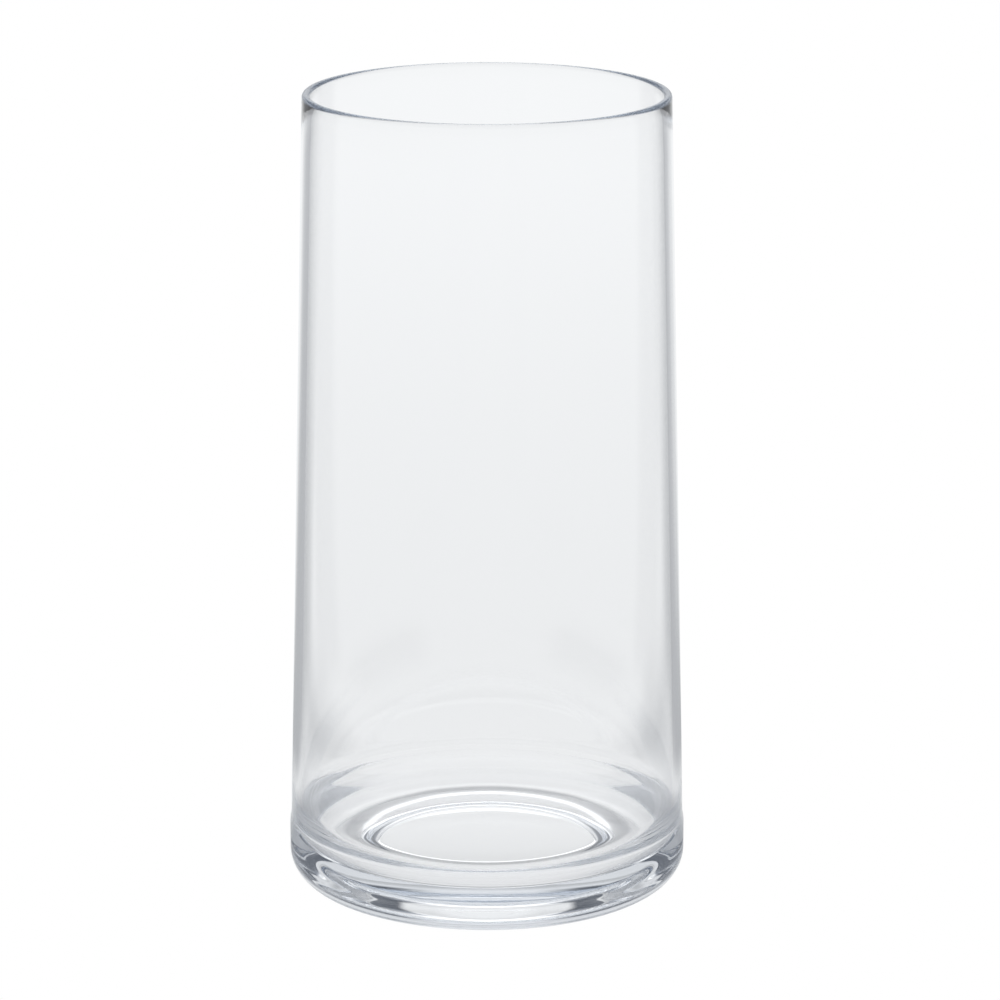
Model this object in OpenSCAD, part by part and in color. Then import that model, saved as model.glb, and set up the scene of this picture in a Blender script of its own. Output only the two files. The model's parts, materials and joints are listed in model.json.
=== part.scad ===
// Glass cylinder vase, heavy based and very slightly tapered.
// Every zone is turned about +Z, and the vase stands on z = 0.
// The zones meet face to face and make up one continuous wall of glass.

/* [Height and width] */
// Overall height, foot to lip
height = 254; // [200:1:300]
// Outside diameter at the lip
mouth_d = 114.4; // [100:0.2:118]
// Outside diameter of the wall where it meets the heel
wall_d = 125.7; // [118:0.1:126]
// Outside diameter of the heel, the widest place
heel_d = 126.6; // [126.2:0.1:130]

/* [Glass thickness] */
// Thickness of the wall at the lip, which is rounded over to half of this
lip_t = 2.6; // [2:0.1:4]
// Thickness of the wall just above the heel
wall_t = 2.9; // [2.5:0.1:5]
// Thickness of the floor, measured from the table up to the inside
floor_t = 12.5; // [9:0.5:15]

/* [Rim] */
// Length of the true cylinder just inside the mouth
mouth_land = 10; // [5:1:20]
// Height of the rim zone
rim_h = 12; // [11:1:25]

/* [Heel] */
// Rounding under the heel
heel_r = 9.5; // [6:0.5:12]
// Height at which the heel is widest
heel_z = 17.5; // [13:0.5:20]
// Rounding over the heel's shoulder, up to the wall
shoulder_r = 12; // [8:1:14]
// Rounding inside, between the floor and the wall
cove_r = 15.5; // [8:0.5:18]

/* [Foot] */
// Inside radius of the flat ring that the vase stands on
bearing_ri = 43; // [40:0.5:46]
// Radius of the hollow's roof, where the bevel down to the ring starts
roof_r = 33.5; // [28:0.5:36]
// Height of the hollow's flat roof
hollow_h = 4.5; // [3:0.1:5]
// Height of the ring zone
foot_h = 1.2; // [0.8:0.1:2]

/* [Hidden] */

$fn = 180;

lip_r = lip_t / 2;
mouth_r = mouth_d / 2;
wall_r = wall_d / 2;
heel_outer_r = heel_d / 2;

rim_z = height - rim_h;
lip_z = height - lip_r;
land_z = lip_z - mouth_land;

// The cove's own centre, and the top of the cove, where the straight wall starts.
cavity_r = wall_r - wall_t;
cove_x = cavity_r - cove_r;
cove_z = floor_t + cove_r;

// The shoulder's circle leaves the wall's outside at this height.
shoulder_x = heel_outer_r - shoulder_r;
shoulder_z = heel_z + sqrt(pow(shoulder_r, 2) - pow(wall_r - shoulder_x, 2));

// The bevel under the floor is an S of two equal arcs that meet halfway.
bevel_w = bearing_ri - roof_r;
bevel_r = (pow(bevel_w, 2) + pow(hollow_h, 2)) / (4 * hollow_h);
bevel_mid_r = roof_r + bevel_w / 2;

// Outline of the vase as if it were solid right through, without its lip.
module filled_outline() {
    polygon([
        [0, heel_z],
        [wall_r, heel_z],
        [wall_r, shoulder_z],
        [mouth_r, lip_z],
        [0, lip_z]
    ]);
    square([heel_outer_r - heel_r, heel_z]);
    translate([0, heel_r])
        square([heel_outer_r, heel_z - heel_r]);
    translate([heel_outer_r - heel_r, heel_r])
        circle(r = heel_r);
    translate([shoulder_x, heel_z])
        circle(r = shoulder_r);
}

// The space inside: a straight land in the mouth, a long taper, and the cove down to the floor.
module cavity_outline() {
    polygon([
        [0, cove_z],
        [cavity_r, cove_z],
        [mouth_r - lip_t, land_z],
        [mouth_r - lip_t, height + 1],
        [0, height + 1]
    ]);
    translate([0, floor_t])
        square([cove_x, cove_r + 1]);
    translate([cove_x, cove_z])
        circle(r = cove_r);
}

// The hollow under the floor: a flat roof, and the bevel that flows from it down to the ring.
module hollow_outline() {
    translate([0, -1])
        square([roof_r, hollow_h + 1]);
    intersection() {
        translate([roof_r, hollow_h - bevel_r])
            circle(r = bevel_r);
        translate([roof_r, -1])
            square([bevel_w / 2, hollow_h + 1]);
    }
    difference() {
        translate([bevel_mid_r, -1])
            square([bevel_w / 2, hollow_h / 2 + 1]);
        translate([bearing_ri, bevel_r])
            circle(r = bevel_r);
    }
}

// The vase's whole section, on the +X side of its axis.
module glass_section() {
    difference() {
        filled_outline();
        cavity_outline();
        hollow_outline();
    }
    translate([mouth_r - lip_r, lip_z])
        circle(r = lip_r);
}

// Turns the part of the section that lies between two radii and two heights.
module turned_zone(r_from, r_to, z_from, z_to) {
    rotate_extrude()
        intersection() {
            glass_section();
            translate([r_from, z_from])
                square([r_to - r_from, z_to - z_from]);
        }
}

// Fire-polished lip and the straight land inside the mouth.
module rim() {
    color([0.90, 0.94, 0.96])
        turned_zone(mouth_r - 2 * lip_t, heel_outer_r, rim_z, height);
}

// Tapered side, from the rim down to the heel's shoulder.
module wall() {
    color([0.86, 0.91, 0.94])
        turned_zone(cove_x, heel_outer_r, shoulder_z, rim_z);
}

// Thick rounded corner, with the cove inside it.
module heel() {
    color([0.66, 0.74, 0.82])
        turned_zone(roof_r, heel_outer_r, foot_h, shoulder_z);
}

// Clear disc in the middle of the base, over the hollow.
module floor_disc() {
    color([0.80, 0.86, 0.91])
        turned_zone(0, roof_r, foot_h, floor_t);
}

// Ring that stands on the table, ground flat, with the lower part of the bevel inside it.
module foot_ring() {
    color([0.72, 0.79, 0.85])
        turned_zone(roof_r, heel_outer_r, 0, foot_h);
}

rim();
wall();
heel();
floor_disc();  // floor
foot_ring();
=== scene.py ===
# Looks for the glass cylinder vase. Metres, +Z up, the foot stands on z = 0.
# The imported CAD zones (rim, wall, heel, floor and foot ring) are one piece of glass on the real vase, so one
# closed turned skin stands for all five, on the same section.
import json
import math

import bpy
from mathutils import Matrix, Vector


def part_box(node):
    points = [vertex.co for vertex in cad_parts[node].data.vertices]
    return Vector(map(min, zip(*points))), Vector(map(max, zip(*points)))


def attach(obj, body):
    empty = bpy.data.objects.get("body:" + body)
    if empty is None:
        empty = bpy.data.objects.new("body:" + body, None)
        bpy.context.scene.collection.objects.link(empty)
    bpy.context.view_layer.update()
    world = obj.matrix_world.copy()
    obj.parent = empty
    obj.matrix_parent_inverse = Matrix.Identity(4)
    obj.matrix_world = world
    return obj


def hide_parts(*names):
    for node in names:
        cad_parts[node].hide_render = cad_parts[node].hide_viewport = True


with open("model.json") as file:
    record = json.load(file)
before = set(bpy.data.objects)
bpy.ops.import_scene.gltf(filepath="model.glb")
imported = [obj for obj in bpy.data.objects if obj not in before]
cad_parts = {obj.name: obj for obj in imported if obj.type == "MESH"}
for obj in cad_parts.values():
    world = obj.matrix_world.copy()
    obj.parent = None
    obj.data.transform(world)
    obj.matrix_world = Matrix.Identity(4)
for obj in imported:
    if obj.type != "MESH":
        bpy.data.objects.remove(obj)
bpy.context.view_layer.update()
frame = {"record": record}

# ---------------------------------------------------------------- sizes read from the frame

MM = 0.001

mouth = next(m for m in frame["record"]["mounts"] if m["name"] == "mouth")
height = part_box("rim")[1].z
mouth_bore_r = mouth["dims"]["r_mm"] * MM
land_length = mouth["dims"]["length_mm"] * MM
wall_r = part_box("wall")[1].x
shoulder_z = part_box("wall")[0].z
heel_outer_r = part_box("heel")[1].x
floor_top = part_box("floor")[1].z

# ---------------------------------------------------------------- sizes of the section, as in part.scad

lip_t = 2.6 * MM
wall_t = 2.9 * MM
heel_r = 9.5 * MM
heel_z = 17.5 * MM
shoulder_r = 12 * MM
cove_r = 15.5 * MM
bearing_r = 43 * MM
roof_r = 33.5 * MM
hollow_h = 4.5 * MM

lip_r = lip_t / 2
mouth_r = mouth_bore_r + lip_t
lip_z = height - lip_r
land_z = lip_z - land_length
cavity_r = wall_r - wall_t
cove_x = cavity_r - cove_r
cove_z = floor_top + cove_r
heel_x = heel_outer_r - heel_r
shoulder_x = heel_outer_r - shoulder_r

# ---------------------------------------------------------------- the turned section


def arc(centre_r, centre_z, radius, start, end, steps):
    """Points on a circle of the section, from the start angle to the end angle, in degrees."""
    turns = [math.radians(start + (end - start) * i / steps) for i in range(steps + 1)]
    return [(centre_r + radius * math.cos(t), centre_z + radius * math.sin(t)) for t in turns]


def line(start, end, steps):
    """Points along a straight side of the section."""
    return [
        (start[0] + (end[0] - start[0]) * i / steps, start[1] + (end[1] - start[1]) * i / steps)
        for i in range(steps + 1)
    ]


def hollow_side():
    """The bevel from the hollow's roof down to the bearing ring: two equal arcs that meet in an S."""
    width = bearing_r - roof_r
    radius = (width ** 2 + hollow_h ** 2) / (4 * hollow_h)
    sweep = 2 * math.degrees(math.atan(hollow_h / width))
    upper = arc(roof_r, hollow_h - radius, radius, 90, 90 - sweep, 14)
    lower = arc(bearing_r, radius, radius, -90 - sweep, -90, 14)
    return upper + lower


def section():
    """The closed outline of the glass, from the hollow out, up, over the lip and down inside."""
    shoulder_angle = math.degrees(math.acos((wall_r - shoulder_x) / shoulder_r))
    inside_top = (mouth_bore_r, lip_z)
    inside_land = (mouth_bore_r, land_z)
    points = []
    points += line((0, hollow_h), (roof_r, hollow_h), 20)
    points += hollow_side()
    points += line((bearing_r, 0), (heel_x, 0), 6)
    points += arc(heel_x, heel_r, heel_r, -90, 0, 32)
    points += line((heel_outer_r, heel_r), (heel_outer_r, heel_z), 6)
    points += arc(shoulder_x, heel_z, shoulder_r, 0, shoulder_angle, 8)
    points += line((wall_r, shoulder_z), (mouth_r, lip_z), 44)
    points += arc(mouth_r - lip_r, lip_z, lip_r, 0, 180, 16)
    points += line(inside_top, inside_land, 3)
    points += line(inside_land, (cavity_r, cove_z), 40)
    points += arc(cove_x, cove_z, cove_r, 0, -90, 32)
    points += line((cove_x, floor_top), (0, floor_top), 24)
    return points


SAME_POINT = 1e-6


def without_repeats(points):
    """The same outline with each point that repeats the one before it left out."""
    kept = [points[0]]
    for point in points[1:]:
        if math.dist(point, kept[-1]) > SAME_POINT:
            kept.append(point)
    return kept


# ---------------------------------------------------------------- marks that drawing leaves in the glass

# upright waves round the wall: how many, how deep, where they start and how far they lean with height
DRAW_WAVES = [
    (3, 0.040 * MM, 0.4, 1.5),
    (7, 0.022 * MM, 2.1, -2.0),
    (16, 0.008 * MM, 4.0, 3.0),
    (31, 0.003 * MM, 1.2, -4.0),
]
# share of the wall over which they die away at each end, and how far round those inside are turned
WAVE_FADE = 0.1
INSIDE_TURN = 1.7


def drawn(z, angle, inside):
    """How far a point of the wall stands off its true cone. It dies away at both ends of the wall."""
    start = cove_z if inside else shoulder_z
    share = (z - start) / (lip_z - start)
    if share <= 0 or share >= 1:
        return 0
    fade = min(1, share / WAVE_FADE, (1 - share) / WAVE_FADE)
    side = INSIDE_TURN if inside else 0
    waves = sum(d * math.sin(n * (angle + side) + p + lean * z) for n, d, p, lean in DRAW_WAVES)
    return fade * waves


# ---------------------------------------------------------------- mesh

AROUND = 300
ON_AXIS = 1e-9


def turned_mesh(name, outline):
    """A closed smooth mesh turned about Z. Both ends of the outline are on the axis."""
    lip_index = max(range(len(outline)), key=lambda i: outline[i][1])
    verts = []
    rings = []
    for i, (r, z) in enumerate(outline):
        if r < ON_AXIS:
            rings.append([len(verts)])
            verts.append((0, 0, z))
            continue
        rings.append(list(range(len(verts), len(verts) + AROUND)))
        for k in range(AROUND):
            angle = 2 * math.pi * k / AROUND
            radius = r + drawn(z, angle, i > lip_index)
            verts.append((radius * math.cos(angle), radius * math.sin(angle), z))
    faces = []
    for low, high in zip(rings, rings[1:]):
        for k in range(AROUND):
            nxt = (k + 1) % AROUND
            if len(low) == 1:
                faces.append((low[0], high[nxt], high[k]))
            elif len(high) == 1:
                faces.append((low[k], low[nxt], high[0]))
            else:
                faces.append((low[k], low[nxt], high[nxt], high[k]))
    mesh = bpy.data.meshes.new(name)
    mesh.from_pydata(verts, [], faces)
    mesh.polygons.foreach_set("use_smooth", [True] * len(mesh.polygons))
    mesh.update()
    piece = bpy.data.objects.new(name, mesh)
    bpy.context.scene.collection.objects.link(piece)
    return piece


# ---------------------------------------------------------------- shader helpers


def add(tree, kind, **sockets):
    """A new shader node with its input sockets set by name, underscores standing for spaces."""
    made = tree.nodes.new(kind)
    for socket, value in sockets.items():
        made.inputs[socket.replace("_", " ")].default_value = value
    return made


def math_node(tree, operation, *values):
    """A Math node that takes sockets or numbers."""
    made = tree.nodes.new("ShaderNodeMath")
    made.operation = operation
    for slot, value in zip(made.inputs, values):
        if isinstance(value, (int, float)):
            slot.default_value = value
        else:
            tree.links.new(value, slot)
    return made.outputs[0]


def plus(tree, first, second):
    """The sum of two sockets or numbers."""
    return math_node(tree, "ADD", first, second)


def times(tree, first, second):
    """The product of two sockets or numbers."""
    return math_node(tree, "MULTIPLY", first, second)


def between(tree, first, second, share):
    """first where share is 0, second where it is 1."""
    gap = math_node(tree, "SUBTRACT", second, first)
    return plus(tree, times(tree, gap, share), first)


def ramp(tree, value, low, high, to_low=0.0, to_high=1.0):
    """value eased from to_low at low to to_high at high, and held flat outside."""
    made = add(tree, "ShaderNodeMapRange", From_Min=low, From_Max=high, To_Min=to_low, To_Max=to_high)
    made.interpolation_type = "SMOOTHSTEP"
    tree.links.new(value, made.inputs["Value"])
    return made.outputs["Result"]


def band(tree, value, start, end, ease):
    """1 from start to end, easing to 0 on both sides."""
    rising = ramp(tree, value, start - ease, start)
    falling = ramp(tree, value, end, end + ease, 1.0, 0.0)
    return times(tree, rising, falling)


def place_axes(tree, socket):
    """The three coordinates of a texture coordinate socket."""
    axes = tree.nodes.new("ShaderNodeSeparateXYZ")
    tree.links.new(tree.nodes.new("ShaderNodeTexCoord").outputs[socket], axes.inputs[0])
    return axes.outputs


def flat_length(tree, x, y):
    """Distance from the axis to a point at x, y."""
    squares = plus(tree, times(tree, x, x), times(tree, y, y))
    return math_node(tree, "SQRT", squares)


def degrees_round(tree, x, y):
    """Degrees round the vase from straight behind it, 0 to 180, counted alike on both sides."""
    turn = math_node(tree, "ARCTAN2", math_node(tree, "ABSOLUTE", x), y)
    return times(tree, turn, math.degrees(1))


# ---------------------------------------------------------------- material

# how much light each colour loses along a metre of this glass: faintly slate, from its iron and manganese
ABSORBED = (1.9, 1.65, 1.3)
DENSITY = 10.0
SODA_LIME_IOR = 1.5
# roughness of the faint smudges at most, and of the ground ring, with the height over which it ends
SMUDGE_ROUGHNESS = 0.018
GROUND_ROUGHNESS = 0.34
GROUND_HEIGHT = (0.02 * MM, 0.15 * MM)
# width of the fine draw lines as a share of their length, and the depth of their relief
LINE_STRETCH = 0.035
LINE_DEPTH = 0.05 * MM


def glass_material():
    """Clear soda-lime glass, with faint smudges, upright draw lines and the foot ground to a satin."""
    material = bpy.data.materials.new("clear_soda_lime_glass")
    material.use_nodes = True
    tree = material.node_tree
    shader = tree.nodes["Principled BSDF"]
    shader.inputs["Base Color"].default_value = (1, 1, 1, 1)
    shader.inputs["Transmission Weight"].default_value = 1
    shader.inputs["IOR"].default_value = SODA_LIME_IOR

    place = tree.nodes.new("ShaderNodeTexCoord").outputs["Object"]
    axes = tree.nodes.new("ShaderNodeSeparateXYZ")
    tree.links.new(place, axes.inputs[0])

    smudges = add(tree, "ShaderNodeTexNoise", Scale=38.0, Detail=4.0, Roughness=0.6)
    tree.links.new(place, smudges.inputs["Vector"])
    smear = ramp(tree, smudges.outputs[0], 0.45, 0.8, 0.0, SMUDGE_ROUGHNESS)
    ground = ramp(tree, axes.outputs["Z"], *GROUND_HEIGHT, GROUND_ROUGHNESS, 0.0)
    tree.links.new(math_node(tree, "MAXIMUM", smear, ground), shader.inputs["Roughness"])

    stretch = add(tree, "ShaderNodeMapping", Scale=(1.0, 1.0, LINE_STRETCH))
    tree.links.new(place, stretch.inputs["Vector"])
    lines = add(tree, "ShaderNodeTexNoise", Scale=170.0, Detail=3.0, Roughness=0.5)
    tree.links.new(stretch.outputs[0], lines.inputs["Vector"])
    relief = add(tree, "ShaderNodeBump", Strength=0.05, Distance=LINE_DEPTH)
    tree.links.new(lines.outputs[0], relief.inputs["Height"])
    tree.links.new(relief.outputs[0], shader.inputs["Normal"])

    depth = add(tree, "ShaderNodeVolumeAbsorption", Density=DENSITY)
    depth.inputs["Color"].default_value = tuple(1 - a / DENSITY for a in ABSORBED) + (1,)
    tree.links.new(depth.outputs[0], tree.nodes["Material Output"].inputs["Volume"])
    return material


vase = turned_mesh("vase_glass", without_repeats(section()))
vase.data.materials.append(glass_material())
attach(vase, "root")
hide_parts("rim", "wall", "heel", "floor", "foot_ring")

# ---------------------------------------------------------------- studio: pale table with painted shade and light, soft room, dark flags

# what the glass gets from the table and from the room, and from their dark parts: painted shade on the table,
# flags in the room
PALE = (0.975, 0.988, 1.0, 1)
SLATE = (0.060, 0.075, 0.105, 1)

TABLE_HALF = 6.0
TABLE_DROP = 0.1 * MM
# brightness of the table under the vase, beside it and far off, and what it gains in front: painted shade,
# darker under and near the vase, and painted light in front
TABLE_UNDER = 0.77
TABLE_NEAR = 0.86
TABLE_FAR = 0.95
TABLE_FRONT = 0.03
# distances from the axis at which it turns from under to beside, and from beside to far
UNDER_EDGE = (0.036, 0.042)
NEAR_TO_FAR = (0.066, 1.5)
# how fast the painted shade under the vase brightens from front to back, for each metre
UNDER_SLOPE = 2.4

# brightness of the room low down behind and in front, high up in front and behind, and overhead
ROOM_BEHIND = 0.95
ROOM_FRONT = 1.10
HIGH_FRONT = 1.45
HIGH_BEHIND = 0.70
TOP = 0.95
# degrees round over which behind turns into front, for the table and the low room, and for the high room
FRONT_TURN = (60, 180)
HIGH_TURN = (20, 150)
# degrees up over which low turns into high, and high into overhead
HIGH_RISE = (28, 46)
TOP_RISE = (56, 72)
# degrees up over which the room's foot brightens, from this share of its light
FOOT_RISE = (1, 9)
FOOT_SHARE = 0.6

# degrees round from straight behind, on both sides, where a dark part starts, ends, and how softly:
# a painted pool of shade on the table beside the vase, a painted strip of shade on it further off, and a flag
# in the room
SHADE_POOL = (72, 112, 26)
SHADE_STRIP = (30, 48, 12)
FLAG = (22, 78, 14)
# the same in degrees up, for the flag
FLAG_HEIGHT = (13, 42, 7)
# distances from the axis over which the painted pool of shade sets in and gives way to the painted strip of
# shade
SHADE_POOL_START = (0.060, 0.080)
SHADE_POOL_REACH = (0.100, 0.170)
SHADE_POOL_SHARE = 0.62
SHADE_STRIP_SHARE = 0.48
FLAG_SHARE = 0.95
# a bright panel in the room behind: degrees round, degrees up, and how much light it adds
PANEL = (0, 26, 8)
PANEL_HEIGHT = (31, 46, 4)
PANEL_LIGHT = 0.85
# the base's own soft shadow on the table, thrown back a little, with the line of light that it gathers
THROW = 0.012
SHADOW = (43.5 * MM, 46.5 * MM, 4 * MM)
SHADOW_SHARE = 0.48
GATHERED = (39.0 * MM, 40.0 * MM, 1.5 * MM)
GATHERED_LIGHT = 0.90


def white_to_camera(tree, light, output):
    """Shows plain white to the camera, as the photograph's cut-out ground does, and light to the glass."""
    white = tree.nodes.new(light.bl_idname)
    white.inputs["Color"].default_value = (1, 1, 1, 1)
    choose = tree.nodes.new("ShaderNodeMixShader")
    path = tree.nodes.new("ShaderNodeLightPath")
    tree.links.new(path.outputs["Is Camera Ray"], choose.inputs[0])
    tree.links.new(light.outputs[0], choose.inputs[1])
    tree.links.new(white.outputs[0], choose.inputs[2])
    tree.links.new(choose.outputs[0], output)


def pale_to_slate(tree, share):
    """Pale where share is 0, slate where it is 1."""
    made = tree.nodes.new("ShaderNodeMix")
    made.data_type = "RGBA"
    tree.links.new(share, made.inputs["Factor"])
    # a Mix node holds sockets for every data type, and these are its two colours and their mixture
    first, second, mixed = made.inputs[6], made.inputs[7], made.outputs[2]
    first.default_value = PALE
    second.default_value = SLATE
    return mixed


def pale_table():
    """A pale table top that lights the glass from below, with painted shade: a dark pool by each side of the
    vase, strips further off, the base's shadow, darker under and near the vase, and a painted line of light.
    """
    mesh = bpy.data.meshes.new("table_top")
    corners = [(-1, -1), (1, -1), (1, 1), (-1, 1)]
    verts = [(x * TABLE_HALF, y * TABLE_HALF, -TABLE_DROP) for x, y in corners]
    mesh.from_pydata(verts, [], [(0, 1, 2, 3)])
    table = bpy.data.objects.new("table_top", mesh)
    bpy.context.scene.collection.objects.link(table)
    material = bpy.data.materials.new("pale_table")
    material.use_nodes = True
    tree = material.node_tree
    tree.nodes.remove(tree.nodes["Principled BSDF"])
    x, y, _ = place_axes(tree, "Object")
    reach = flat_length(tree, x, y)
    turn = degrees_round(tree, x, y)
    from_shadow = flat_length(tree, x, math_node(tree, "SUBTRACT", y, THROW))

    # painted shade on the table: a pool of shade by each side of the vase, strips of shade further off, and
    # the base's shadow
    past = ramp(tree, reach, *SHADE_POOL_REACH)
    near = math_node(tree, "SUBTRACT", ramp(tree, reach, *SHADE_POOL_START), past)
    shade_pool = times(tree, times(tree, band(tree, turn, *SHADE_POOL), near), SHADE_POOL_SHARE)
    shade_strip = times(tree, times(tree, band(tree, turn, *SHADE_STRIP), past), SHADE_STRIP_SHARE)
    shadow = times(tree, band(tree, from_shadow, *SHADOW), SHADOW_SHARE)
    dark = math_node(tree, "MAXIMUM", math_node(tree, "MAXIMUM", shade_pool, shade_strip), shadow)
    glow = tree.nodes.new("ShaderNodeEmission")
    tree.links.new(pale_to_slate(tree, dark), glow.inputs["Color"])

    # painted shade and light in the table's brightness: darker under and near the vase, lighter towards the
    # back under it and in front, with a painted line of light
    beside = ramp(tree, reach, *NEAR_TO_FAR, TABLE_NEAR, TABLE_FAR)
    front = times(tree, ramp(tree, turn, *FRONT_TURN, 0.0, TABLE_FRONT), past)
    dimmer = plus(tree, times(tree, y, UNDER_SLOPE), TABLE_UNDER - TABLE_NEAR)
    under = times(tree, dimmer, ramp(tree, reach, *UNDER_EDGE, 1.0, 0.0))
    gathered = times(tree, band(tree, from_shadow, *GATHERED), GATHERED_LIGHT)
    level = plus(tree, plus(tree, beside, front), plus(tree, under, gathered))
    tree.links.new(level, glow.inputs["Strength"])
    white_to_camera(tree, glow, tree.nodes["Material Output"].inputs["Surface"])
    mesh.materials.append(material)


def soft_room():
    """Even light from behind with a bright panel, more in front, and a dark flag behind each side."""
    world = bpy.data.worlds.new("soft_room")
    bpy.context.scene.world = world
    world.use_nodes = True
    tree = world.node_tree
    sky = tree.nodes["Background"]
    x, y, z = place_axes(tree, "Generated")
    turn = degrees_round(tree, x, y)
    above = times(tree, math_node(tree, "ARCSINE", z), math.degrees(1))
    flag = times(tree, band(tree, turn, *FLAG), band(tree, above, *FLAG_HEIGHT))
    tree.links.new(pale_to_slate(tree, times(tree, flag, FLAG_SHARE)), sky.inputs["Color"])

    low = ramp(tree, turn, *FRONT_TURN, ROOM_BEHIND, ROOM_FRONT)
    high = ramp(tree, turn, *HIGH_TURN, HIGH_BEHIND, HIGH_FRONT)
    panel = times(tree, band(tree, turn, *PANEL), band(tree, above, *PANEL_HEIGHT))
    level = between(tree, low, high, ramp(tree, above, *HIGH_RISE))
    level = plus(tree, times(tree, panel, PANEL_LIGHT), level)
    level = between(tree, level, TOP, ramp(tree, above, *TOP_RISE))
    level = times(tree, level, ramp(tree, above, *FOOT_RISE, FOOT_SHARE, 1.0))
    tree.links.new(level, sky.inputs["Strength"])
    white_to_camera(tree, sky, tree.nodes["World Output"].inputs["Surface"])


pale_table()
soft_room()

# ---------------------------------------------------------------- camera, at the photograph's angle

CAMERA_BACK = 1.353
CAMERA_UP = 0.4875
CAMERA_TILT = 15.05
SENSOR = 36.0
LENS = 159.6
AXIS_SHIFT = 0.013
CLIP = (0.01, 100)

lens = bpy.data.cameras.new("camera")
lens.sensor_width = SENSOR
lens.lens = LENS
lens.shift_x = AXIS_SHIFT
lens.clip_start, lens.clip_end = CLIP
camera = bpy.data.objects.new("camera", lens)
bpy.context.scene.collection.objects.link(camera)
camera.location = (0, -CAMERA_BACK, CAMERA_UP)
camera.rotation_euler = (math.radians(90 - CAMERA_TILT), 0, 0)
bpy.context.scene.camera = camera
bpy.context.scene.view_settings.view_transform = "Standard"

# light crosses and turns in thick glass many times, so its path is followed further than usual
LIGHT_TURNS = 128
light_path = bpy.context.scene.cycles
light_path.max_bounces = LIGHT_TURNS
light_path.transmission_bounces = LIGHT_TURNS
light_path.glossy_bounces = LIGHT_TURNS

bpy.context.view_layer.update()
